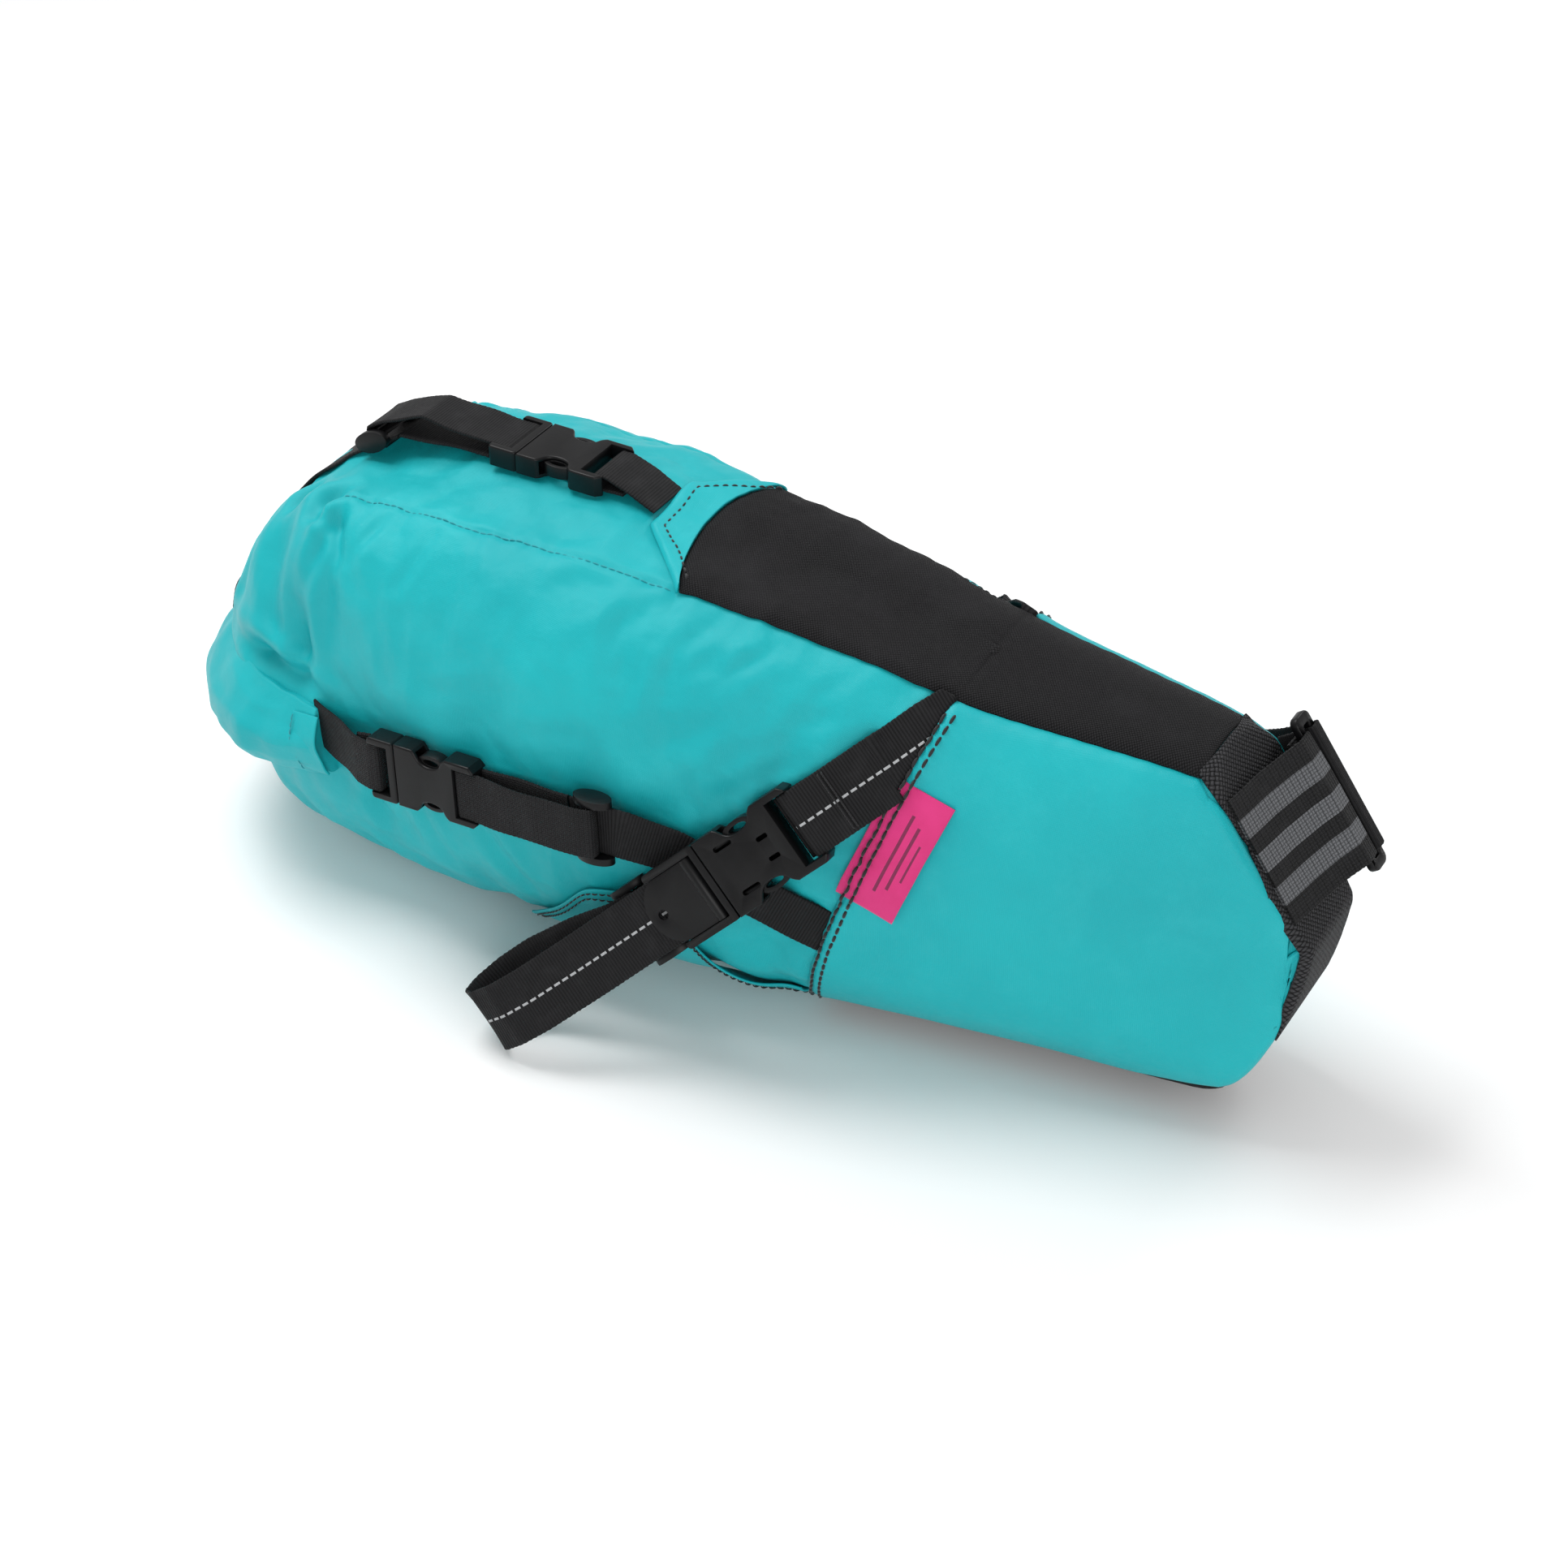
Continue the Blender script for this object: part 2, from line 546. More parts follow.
def settle_cloth():
    """Cloth simulation of the stuffed bag: cloth a little larger than the form, blown up from
    inside and held along its seams, puckers. Returns how far it moved, over the same table."""
    xs, ths = XS[::3], THS[:-1][::3]
    gx, gt = np.meshgrid(xs, ths, indexing="ij")
    start = place_at(CLOTH - 0.8, gx, gt)
    nu, nv = start.shape[:2]
    faces = []
    for i in range(nu - 1):
        for j in range(nv):
            k = (j + 1) % nv
            faces.append([i * nv + j, i * nv + k, (i + 1) * nv + k, (i + 1) * nv + j])
    mesh = bpy.data.meshes.new("bag_sim")
    mesh.from_pydata([tuple(map(float, p)) for p in start.reshape(-1, 3) * MM], [], faces)
    sim = bpy.data.objects.new("bag_sim", mesh)
    bpy.context.scene.collection.objects.link(sim)
    x, y, z = start[..., 0].ravel(), np.abs(start[..., 1]).ravel(), start[..., 2].ravel()
    # held: side panels, floor, mouth, top panel, top seam and behind the side straps
    held = (x > seam_x(z) - 1.5) | (z < 2.5) | (x < -214)
    held |= (x > -24) & (z > 110) & (y < panel_half(x))
    held |= (np.abs(y - top_seam_y(x)) < 2.4) & (z > 100) & (x < -12) & (x > -160)
    held |= (x > -150) & (x < 40) & (y > 60) & (np.abs(z - 85) < 9)
    pins = sim.vertex_groups.new(name="pins")
    pins.add([int(k) for k in np.nonzero(held)[0]], 1.0, "REPLACE")
    cloth = sim.modifiers.new("Cloth", "CLOTH")
    settings = cloth.settings
    settings.vertex_group_mass = "pins"
    settings.quality = 6
    settings.mass = 0.15
    settings.tension_stiffness = 25
    settings.compression_stiffness = 25
    settings.shear_stiffness = 8
    settings.bending_stiffness = 0.08
    settings.use_pressure = True
    settings.uniform_pressure_force = 1.6
    settings.shrink_min = -0.038
    settings.effector_weights.gravity = 0
    cloth.point_cache.frame_start = 1
    cloth.point_cache.frame_end = SIM_FRAMES
    for step in range(1, SIM_FRAMES + 1):
        bpy.context.scene.frame_set(step)
    graph = bpy.context.evaluated_depsgraph_get()
    made = sim.evaluated_get(graph).to_mesh()
    after = np.zeros(len(made.vertices) * 3)
    made.vertices.foreach_get("co", after)
    after = after.reshape(nu, nv, 3) / MM
    bpy.data.objects.remove(sim)
    bpy.context.scene.frame_set(1)
    away = unit(start - core_points(start))
    moved = np.clip(np.sum((after - start) * away, -1) - 0.8, -4.0, 4.0) + 0.8 * held.reshape(nu, nv)
    moved = even_round(moved)
    moved = np.concatenate([moved, moved[:, :1]], 1)
    column = np.stack([np.interp(XS, xs, moved[:, j]) for j in range(moved.shape[1])], 1)
    ends = np.append(ths, 270.0)
    return np.stack([np.interp(THS, ends, row) for row in column], 0)


SETTLED = 0.9 * settle_cloth() * OFF_FLOOR
print("cloth moved", round(float(SETTLED.min()), 2), round(float(SETTLED.max()), 2), "mm")
CLOTH = CLOTH + SETTLED


def surf(x, th, lift=0.0):
    """Point on the rumpled cloth in mm, lifted along its normal, and that normal."""
    p = place_at(CLOTH, x, th)
    dx = place_at(CLOTH, np.asarray(x) + 1.0, th) - place_at(CLOTH, np.asarray(x) - 1.0, th)
    dt = place_at(CLOTH, x, np.asarray(th) + 0.8) - place_at(CLOTH, x, np.asarray(th) - 0.8)
    n = unit(np.cross(dt, dx))
    turn = np.sign(np.sum(n * (p - core_points(p)), -1))
    n = n * np.where(turn == 0, 1, turn)[..., None]
    return p + n * np.asarray(lift)[..., None], n


def solve(axis, x, target, low, high):
    """Angle between low and high at which the form at x reaches target along an axis."""
    def value(th):
        return place_at(REACH, x, th)[..., axis]

    rising = value(high) > value(low)
    for _ in range(26):
        mid = (low + high) / 2
        above = (value(mid) > target) == rising
        high = np.where(above, mid, high)
        low = np.where(above, low, mid)
    return (low + high) / 2


def th_top(x, y):
    return solve(1, x, y, 22.0, 158.0)


def th_low(x, y):
    return solve(1, x, y, np.where(y > 0, -90.0, 192.0), np.where(y > 0, -12.0, 270.0))


def th_side(x, z):
    """Angle on the right side at this height."""
    return solve(2, x, z, 96.0, 264.0)


def arc_uv(p):
    """UV in metres: along the bag, and round it by the cloth's own length."""
    steps = np.linalg.norm(np.diff(p, axis=1), axis=-1)
    v = np.concatenate([np.zeros((p.shape[0], 1)), np.cumsum(steps, 1)], 1)
    v = v - v[:, p.shape[1] // 2][:, None]
    return np.stack([p[..., 0], v], -1) * MM


# ------------------------------------------------------------------ cloth pieces
PANEL_LIFT = 1.3
PANEL_THICK = 0.9


def build_body():
    ths = np.linspace(-90, 270, 481)
    xs = np.concatenate([np.arange(-222, 90, 1.0), np.arange(90, 223.1, 2.0)])
    gx, gt = np.meshgrid(xs, ths, indexing="ij")
    p, _ = surf(gx, gt)
    p[:, -1] = p[:, 0]
    back, front = (np.full((1, p.shape[1], 3), [x, 0.0, core(x)]) for x in (X_LOW, X_HIGH))
    p = np.concatenate([back, p, front])
    p[..., 2] = np.maximum(p[..., 2], 0.0)
    made = put_cloth("bag_cloth", p, arc_uv(p), "coated_cloth")
    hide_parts("body_shell", "bottom_stiffener")
    return made


def patch(name, x, th, lift, slot, uv, node, side=1.0, flip=False):
    """Cloth panel lying on the bag, in place of a node of the CAD part."""
    p, _ = surf(x, th, lift)
    p[..., 2] = np.maximum(p[..., 2], 0.0)
    if side < 0:
        p = mirrored(p)
        flip = not flip
    made = put_cloth(name, p, uv, slot, flip, PANEL_THICK)
    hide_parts(node)


def even(p, passes):
    """Grid of points with its small ripples evened out; its border stays."""
    for _ in range(passes):
        p = p.copy()
        p[1:-1] = between(p)
        p[:, 1:-1] = (p[:, :-2] + 2 * p[:, 1:-1] + p[:, 2:]) / 4
    return p


def edge_gap(nu, nv, lengths_u, lengths_v):
    """Rough distance in mm from a patch's nearest edge."""
    a = np.linspace(0, 1, nu)[:, None] * lengths_u
    b = np.linspace(0, 1, nv)[None, :] * lengths_v
    return np.minimum(np.minimum(a, lengths_u - a), np.minimum(b, lengths_v - b))


def tuck(gap, lift, width=1.6):
    return lift * (1 - 0.75 * np.exp(-((gap / width) ** 2)))


def shares(along, across):
    """Grid of shares: s from -1 to 1 across a panel, t from 0 to 1 along it."""
    t, s = np.meshgrid(np.linspace(0, 1, along), np.linspace(-1, 1, across), indexing="ij")
    return s, t


def build_top_panel():
    s, t = shares(260, 97)
    x = (-22 + 10 * s * s) * (1 - t) + 178.8 * t
    y = s * panel_half(x)
    lift = tuck(edge_gap(260, 97, 200.0, 60.0), PANEL_LIFT)
    patch("top_panel_cloth", x, th_top(x, y), lift, "textured_cloth", flat_uv(x, y), "top_panel")
    # yoke that holds the top strap
    s, t = shares(40, 121)
    y = 38.0 * s
    rear = np.interp(np.abs(y), [0, 13, 27, 38], [-39, -39, -24, -12.7])
    front = -22.4 + 10 * s * s
    x = rear * (1 - t) + front * t
    rim = x - rear
    lift = 0.35 + 1.25 * (1 - np.exp(-((rim + 0.2) / 0.8) ** 2))
    lift = lift + 0.35 * np.exp(-((rim - 2.4) / 2.2) ** 2)
    patch("strap_yoke_cloth", x, th_top(x, y), lift, "coated_cloth", flat_uv(x, y), "strap_yoke")


def build_side_panels():
    """From the low edge up, and from the seam to the nose."""
    s, t = np.meshgrid(np.linspace(0, 1, 150), np.linspace(0, 1, 220), indexing="ij")
    t = 1 - (1 - t) ** 1.5
    start = np.full(s.shape, 70.0)

    def angle(at, share):
        low_y = -np.interp(at, [40, 168, 200, 223], [40.3, 23.9, 23.4, 21.6])
        high_y = -np.interp(at, [-12, 97, 178, 183, 200, 223], [38.6, 29.6, 19.6, 22.2, 22.6, 21.4])
        low = th_low(at, low_y)
        return low + (th_top(at, high_y) - low) * share

    for _ in range(9):
        start = seam_x(place_at(REACH, start, angle(start, s))[..., 2])
    x = start * (1 - t) + 219.5 * t
    th = angle(x, s)
    lift = tuck(edge_gap(150, 220, 150.0, 160.0), PANEL_LIFT + 0.05)
    lift = lift + 0.35 * np.exp(-((x - start - 3.0) / 2.6) ** 2)
    lift = lift * np.interp(x, [196, 212], [1.0, 0.55])
    p = place_at(REACH, x, th)
    uv = flat_uv(p[..., 0], p[..., 2])
    for side, sign in SIDES:
        node = "side_panel_" + side
        patch("side_panel_cloth_" + side, x, th, lift, "coated_cloth", uv, node, sign, True)


def build_boot():
    """The dark cloth under the nose."""
    s, t = shares(220, 81)
    x = 46 + (219.4 - 46) * (1 - (1 - t) ** 1.7)
    half = np.interp(x, [46, 168, 200, 212, 220], [39.6, 23.3, 22.9, 22.4, 21.0])
    left = th_low(x, half)
    right = th_low(x, -half) - 360.0
    th = right + (left - right) * (s + 1) / 2
    th = np.where(th < -90, th + 360, th)
    p, _ = surf(x, th, tuck(edge_gap(220, 81, 220.0, 60.0), PANEL_LIFT))
    p[..., 2] = np.maximum(p[..., 2], 0.0)
    uv = flat_uv(p[..., 0] + p[..., 2], p[..., 1])
    made = put_cloth("boot_cloth", p, uv, "textured_cloth", False, PANEL_THICK)
    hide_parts("bottom_boot")


def build_nose_patch():
    """Coarse patch draped over the nose: how far it hangs to each side comes from ray casts."""
    rows = 90
    line = [(212.5, 49.0), (216.5, 58.0), (219.6, 67.0), (222.3, 77.0), (223.6, 84.0)]
    line += [(223.2, 87.6), (220.8, 91.6), (201.5, 118.6), (181.6, 146.6), (179.6, 148.0)]
    path = smooth_path(np.array([(a, 0, b) for a, b in line]), rows, 1.5)
    side = np.cross(unit(np.gradient(path, axis=0)), [0, 1, 0])
    side = side * np.sign(side[:, :1] + 1e-9)
    tree = shell_tree()
    steps = np.arange(0, 27, 0.5)
    drop = np.full((rows, len(steps)), -9.0)
    for k in range(rows):
        for j, y in enumerate(steps):
            start = (path[k] + side[k] * 15.0 + np.array([0, y, 0])) * MM
            hit = tree.ray_cast(Vector(start), Vector(-side[k]), 0.03)[0]
            if hit is None:
                break
            drop[k, j] = (np.array(hit) / MM - path[k]) @ side[k]
    crown = np.median(drop[:, :12], axis=1)
    reach = np.array([steps[np.argmax(drop[k] < crown[k] - 3.2)] for k in range(rows)])
    ends = np.linspace(0, 1, rows)
    least = np.interp(ends, [0, 0.6, 1], [20.5, 21.5, 18.8])
    most = np.interp(ends, [0, 0.1, 0.82, 1], [22, 25, 25, 20.2])
    reach = np.clip(reach, least, most)
    reach = np.convolve(np.pad(reach, 7, mode="edge"), np.ones(15) / 15, "valid")
    across = reach[:, None] * np.linspace(-1, 1, 61)[None, :]
    floor = np.maximum(drop, crown[:, None] - 3.6)
    dip = np.stack([np.interp(np.abs(across[k]), steps, floor[k]) for k in range(rows)])
    dip = even(dip, 4) + 1.7
    pts = path[:, None, :] + across[..., None] * np.array([0, 1, 0]) + side[:, None, :] * dip[..., None]
    print("nose patch half width", round(float(reach.min()), 1), round(float(reach.max()), 1), "mm")
    uv = flat_uv(run_length(path)[:, None], across)
    made = put_cloth("nose_patch_cloth", pts, uv, "mesh_cloth", False, 1.0)
    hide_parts("nose_patch")


def smooth_path(points, count, soft):
    """Even points along a polyline, rounded by about soft mm."""
    points = np.asarray(points, float)
    s = run_length(points)
    dense = np.linspace(0, s[-1], 900)
    line = np.stack([np.interp(dense, s, points[:, k]) for k in range(points.shape[1])], 1)
    width = max(1, int(soft / (s[-1] / 899)))
    kernel = np.hanning(2 * width + 3)[1:-1]
    kernel /= kernel.sum()
    ends = len(kernel) // 2
    before = 2 * line[0] - line[1:ends + 1][::-1]
    after = 2 * line[-1] - line[-ends - 1:-1][::-1]
    padded = np.concatenate([before, line, after])
    line = np.stack([np.convolve(padded[:, k], kernel, "valid") for k in range(points.shape[1])], 1)
    s = run_length(line[:, :3])
    places = np.linspace(0, s[-1], count)
    return np.stack([np.interp(places, s, line[:, k]) for k in range(points.shape[1])], 1)


# ------------------------------------------------------------------ stitches
def stitches(name, points, normals, material, body, pitch=3.0, length=2.1, thick=0.32, up=0.25):
    """Thread along a line in mm: a row of short arched stitches."""
    s = run_length(points)
    verts, faces = [], []
    sides, rings = 6, 7
    for start in np.arange(0.4, s[-1] - length, pitch):
        at = start + np.linspace(0, length, rings)
        c = np.stack([np.interp(at, s, points[:, k]) for k in range(3)], 1)
        n = unit(np.stack([np.interp(at, s, normals[:, k]) for k in range(3)], 1))
        along = unit(np.gradient(c, axis=0))
        side = unit(np.cross(along, n))
        share = np.linspace(0, 1, rings)
        arch = np.sin(np.pi * share) ** 0.6
        c = c + n * (thick * (1.3 * arch - 0.9) + up)[:, None]
        radius = thick * (0.55 + 0.45 * arch)
        base = len(verts)
        for k in range(rings):
            for q in range(sides):
                a = 2 * math.pi * q / sides
                verts.append(c[k] + radius[k] * (math.cos(a) * side[k] + math.sin(a) * n[k]))
        for k in range(rings - 1):
            for q in range(sides):
                here, there = base + k * sides, base + (k + 1) * sides
                r = (q + 1) % sides
                faces.append([here + q, here + r, there + r, there + q])
        faces.append([base + q for q in range(sides)][::-1])
        faces.append([base + (rings - 1) * sides + q for q in range(sides)])
    return put(name, np.array(verts) * MM, faces, None, material, body)


def build_stitching():
    z = np.linspace(147.5, 15, 250)
    for side, sign in SIDES:
        for row, back in (("a", 1.3), ("b", 4.3)):
            x = seam_x(z) + back
            # the right row rises over the label's sewn edge
            lift = 2.15 + 1.3 * ((z > 76) & (z < 129)) * (sign > 0)
            p, n = surf(x, th_side(x, z), lift)
            for _ in range(6):
                p[1:-1] = between(p)
            p, n = on_side(sign, p, n)
            stitches(f"side_seam_thread_{row}_{side}", p, n, BLACK_THREAD, "bag", 4.4, 4.25, 0.62, 0.35)
        x = np.linspace(-156, -14, 260)
        p, n = on_side(sign, *surf(x, th_top(x, -top_seam_y(x)), 0.1))
        stitches("top_seam_thread_" + side, p, n, TEAL_THREAD, "bag", 3.2, 3.0, 0.3, 0.0)
        x = np.linspace(-10, 176, 200)
        p, n = on_side(sign, *surf(x, th_top(x, -(panel_half(x) - 2.2)), 1.4))
        stitches("panel_edge_thread_" + side, p, n, BLACK_THREAD, "bag", 3.0, 2.2, 0.2, 0.05)
    y = np.linspace(-33.6, 33.6, 300)
    x = np.interp(np.abs(y), [0, 11.6, 23.5, 34], [-34.6, -34.6, -20.6, -11.2])
    p, n = surf(x, th_top(x, y), 1.75)
    stitches("yoke_thread", p, n, BLACK_THREAD, "bag", 3.4, 2.7, 0.42, 0.7)
    y = np.linspace(-36, 36, 200)
    for row, gap in (("a", 2.0), ("b", 4.6)):
        x = -22 + 10 * (y / 38) ** 2 + gap
        p, n = surf(x, th_top(x, y), 1.4)
        stitches("panel_rear_thread_" + row, p, n, BLACK_THREAD, "bag", 3.0, 2.2, 0.24, 0.1)


# ------------------------------------------------------------------ wings and label
def build_wings():
    xs = np.linspace(-68.5, 42.5, 110)
    top = np.interp(xs, [-69, -30, 4, 14, 28, 43], [17.5, 57, 57, 27, 19.5, 15.6])
    kernel = np.hanning(9)[1:-1]
    kernel /= kernel.sum()
    soft = np.convolve(np.pad(top, 3, mode="edge"), kernel, "valid")
    low = np.interp(xs, [-69, 0, 30, 43], [16.0, 14.0, 7.0, 6.0])
    s = np.linspace(0, 1, 60)[None, :]
    x = np.repeat(xs[:, None], 60, 1)
    z = low[:, None] + (soft - low)[:, None] * s
    th = th_side(x, z)
    rim = (soft - low)[:, None] * (1 - s)
    stand = np.clip((x - 2) / 22, 0, 1) * np.clip((43 - x) / 16, 0, 1)
    hem = 0.5 * np.exp(-((rim - 2.2) / 2.0) ** 2)
    lift = np.interp(x, [4, 34], [2.9, 1.5]) + hem + 1.4 * stand * s ** 2
    p, _ = surf(x, th, lift)
    p = even(p, 12)
    p[0], p[-1] = (p[0] + p[1]) / 2, (p[-1] + p[-2]) / 2
    p[..., 2] = np.maximum(p[..., 2], 0.3)
    columns = np.arange(len(xs))
    for side, sign in SIDES:
        pts = p if sign > 0 else mirrored(p)
        made = put_cloth("wing_cloth_" + side, pts, flat_uv(x, z), "coated_cloth", sign > 0, 0.8)
        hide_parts("wing_" + side)
        for row, gap in (("a", 1.6), ("b", 4.2)):
            share = np.clip(1 - gap / np.maximum(soft - low, 1.2), 0.1, 1)
            row_at = share * 59
            k = np.minimum(row_at.astype(int), 58)
            part = (row_at - k)[:, None]
            under, over = p[columns, k], p[columns, k + 1]
            q = under * (1 - part) + over * part
            m = unit(np.cross(over - under, np.gradient(q, axis=0)))
            m = m * np.where(m[:, 1:2] > 0, -1, 1)
            keep = (soft - low) > 5.5
            q, m = on_side(sign, q[keep], m[keep])
            stitches(f"wing_thread_{row}_{side}", q, m, BLACK_THREAD, "bag", 3.0, 2.3, 0.34, 0.4)


def build_label():
    a, b = np.meshgrid(np.linspace(0, 1, 40), np.linspace(0, 1, 60), indexing="ij")
    # corners from the rear top one on, in x and z
    corners = [(81.5, 128.5), (103.5, 121.5), (85.5, 73), (64.5, 81.0)]
    x, z = (
        (1 - a) * ((1 - b) * low_rear + b * top_rear) + a * ((1 - b) * low_front + b * top_front)
        for top_rear, top_front, low_front, low_rear in zip(*corners)
    )
    lift = 2.7 + 1.6 * a ** 2 * (0.5 + 0.5 * np.sin(3.0 * b + 0.6)) + 0.2 * a
    p, _ = surf(x, th_side(x, z), lift)
    left = p[0]
    for _ in range(40):
        left = np.concatenate([left[:1], between(left), left[-1:]])
    p[0] = left
    p = even(p, 10)
    made = put_cloth("label_cloth", p, np.stack([a, b], -1), "label_cloth", True, 0.45)
    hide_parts("label")


# ------------------------------------------------------------------ rolled closure
def build_roll():
    """The mouth rolled up: an uneven tube of cloth with a lap edge, flattened at its ends."""
    way = [(-150, -69, 73), (-170, -64, 69.5), (-186, -57, 67), (-200, -46, 64), (-211, -34, 62)]
    way += [(-218.5, -18, 61.2), (-221, 0, 61)]
    way += [(x, -y, z) for x, y, z in way[-2::-1]]
    path = smooth_path(way, 200, 14.0)
    path[:, 1] *= 69.0 / abs(path[0, 1])
    share = np.linspace(0, 1, 200)
    ends = np.minimum(share, 1 - share)
    radius = np.interp(ends, [0, 0.07, 0.18, 0.34, 0.5], [12.6, 15.5, 19.0, 22.4, 24.2])
    radius = radius - 5.5 * np.exp(-((share - 0.5) / 0.07) ** 2)
    along = unit(np.gradient(path, axis=0))
    out = unit(np.cross(along, [0, 0, 1.0]))
    out = out * np.where(out[:, :1] * path[:, :1] > 0, 1, -1)
    up = unit(np.cross(out, along))
    up = up * np.sign(up[:, 2:3])
    phi = np.linspace(0, 2 * math.pi, 161)
    flat = np.interp(ends, [0, 0.05, 0.14], [0.62, 0.74, 1.0])
    phi = phi[None, :]
    c, s = np.cos(phi), np.sin(phi)
    crown = 1 + 0.19 * np.exp(-np.abs((phi - 1.3) / 0.22) ** 1.3)
    crown = crown + 0.05 * np.exp(-((phi - 5.0) / 0.4) ** 2) - 0.05 * np.exp(-((phi - 0.55) / 0.3) ** 2)
    r = radius[:, None] * crown
    # thickness of the roll is squeezed towards its ends, height is kept
    local = np.stack([r * c * flat[:, None], r * s], -1)
    p = path[:, None, :] + local[..., :1] * out[:, None, :] + local[..., 1:] * up[:, None, :]
    n = unit(p - path[:, None, :])
    own = np.stack([share[:, None] * 190 + 0 * phi, r * c, r * s], -1)
    dent = 1.1 * rumple(own * [0.55, 1, 1], 34, 21) + 0.5 * rumple(own * [1.6, 0.7, 0.7], 17, 22)
    gathered = np.interp(ends, [0, 0.3], [1.0, 0.5])[:, None]
    dent += 0.9 * (1 - np.abs(rumple(own * [0.8, 1.3, 1.3], 30, 25))) * gathered
    lap = 1.75 + 0.10 * np.sin(share * 9.0)
    step = 1 / (1 + np.exp(-(phi - lap[:, None]) * 26))
    dent += (1 - step) * np.exp(-np.clip(lap[:, None] - phi, 0, 9) * 1.2)
    p = p + n * (dent * np.interp(ends, [0, 0.03], [0.35, 1.0])[:, None])[..., None]
    p[:, -1] = p[:, 0]
    length = run_length(path)
    caps = []
    for k, inward in ((0, 1), (-1, -1)):
        middle = p[k, :-1].mean(0)
        inner = middle + (p[k] - middle) * 0.55 + along[k] * inward * 1.2
        centre = np.repeat(middle[None], p.shape[1], 0) + along[k] * inward * 2.0
        caps.append((inner, centre))
    full = np.concatenate([caps[0][1][None], caps[0][0][None], p, caps[1][0][None], caps[1][1][None]])
    lengths = np.concatenate([[length[0] - 12, length[0] - 5], length, [length[-1] + 5, length[-1] + 12]])
    hoops = np.cumsum(np.linalg.norm(np.diff(full, axis=1), axis=-1), 1)
    round_way = np.concatenate([np.zeros((full.shape[0], 1)), hoops], 1)
    made = put_cloth("roll_cloth", full, flat_uv(lengths[:, None], round_way), "coated_cloth", True)
    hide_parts("roll_top", "roll_stiffener")
    # hemmed flap folded over each end
    a, b = np.meshgrid(np.linspace(0, 1, 26), np.linspace(-1, 1, 40), indexing="ij")
    base = path[0] + out[0] * (r[0].mean() * flat[0] * 0.60 + 1.6)
    rim = 12.4 * b
    bulge = 1.6 * (1 - b ** 2) - 2.0 * b ** 4
    bulge = bulge + 1.6 * a + 0.5 * np.sin(5 * b + 1)
    right = base + up[0] * rim[..., None] + along[0] * (-2.0 + 16.0 * a)[..., None]
    right = right + out[0] * bulge[..., None]
    for side, sign in SIDES:
        pts, way_out = on_side(sign, right, out[0])
        put_cloth("roll_hem_" + side, pts, flat_uv(a * 16, rim), "coated_cloth", sign < 0, 1.0)
        line = pts[19]
        normals = np.repeat(way_out[None], len(line), 0)
        stitches("roll_hem_thread_" + side, line, normals, TEAL_THREAD, "bag", 2.8, 2.4, 0.3, 0.9)


# ------------------------------------------------------------------ webbing
class Strap:
    """A strap's own plane: x along it, z outward from the bag, y across it."""

    def __init__(self, origin, along, outward):
        self.o = np.array(origin, float)
        self.x = unit(along)
        z = np.array(outward, float)
        self.z = unit(z - self.x * (z @ self.x))
        self.y = np.cross(self.z, self.x)

    def at(self, x, up, across=0.0):
        x, up, across = (np.asarray(v, float)[..., None] for v in (x, up, across))
        return self.o + x * self.x + up * self.z + across * self.y


TOP = Strap((-97, 0, 176.4), (48, 0, -0.4), (0, 0, 1))
SIDE = Strap((-106, -78.5, 83), (1, -0.02, 0.06), (0, -1, 0.05))
RAIL = Strap((27.5, -76.5, 82.6), (0.68, 0.32, 0.66), (0.1, -1, 0.25))
POST_RUN = unit([43, 0, -61])
POST = Strap((201.5, 0, 116.5), (0, 1, 0), np.cross(POST_RUN, [0, 1, 0]))
WORLD = Strap((0, 0, 0), (1, 0, 0), (0, 0, 1))
TAPE_THICK = 1.25


def tucked(points):
    """Pushes what lies past the side panel's seam or the top panel's edge in under that panel."""
    x, y, z = points[..., 0], points[..., 1], points[..., 2]
    past = np.clip((x - seam_x(z) - 0.4) / 1.2, 0, 1)
    over = np.clip((panel_half(x) + 1.4 - np.abs(y)) / 1.2, 0, 1) * (z > 110)
    past = np.maximum(past, over)
    sink = 6.5 * past * past * (3 - 2 * past)
    return points + unit(core_points(points) - points) * sink[..., None]


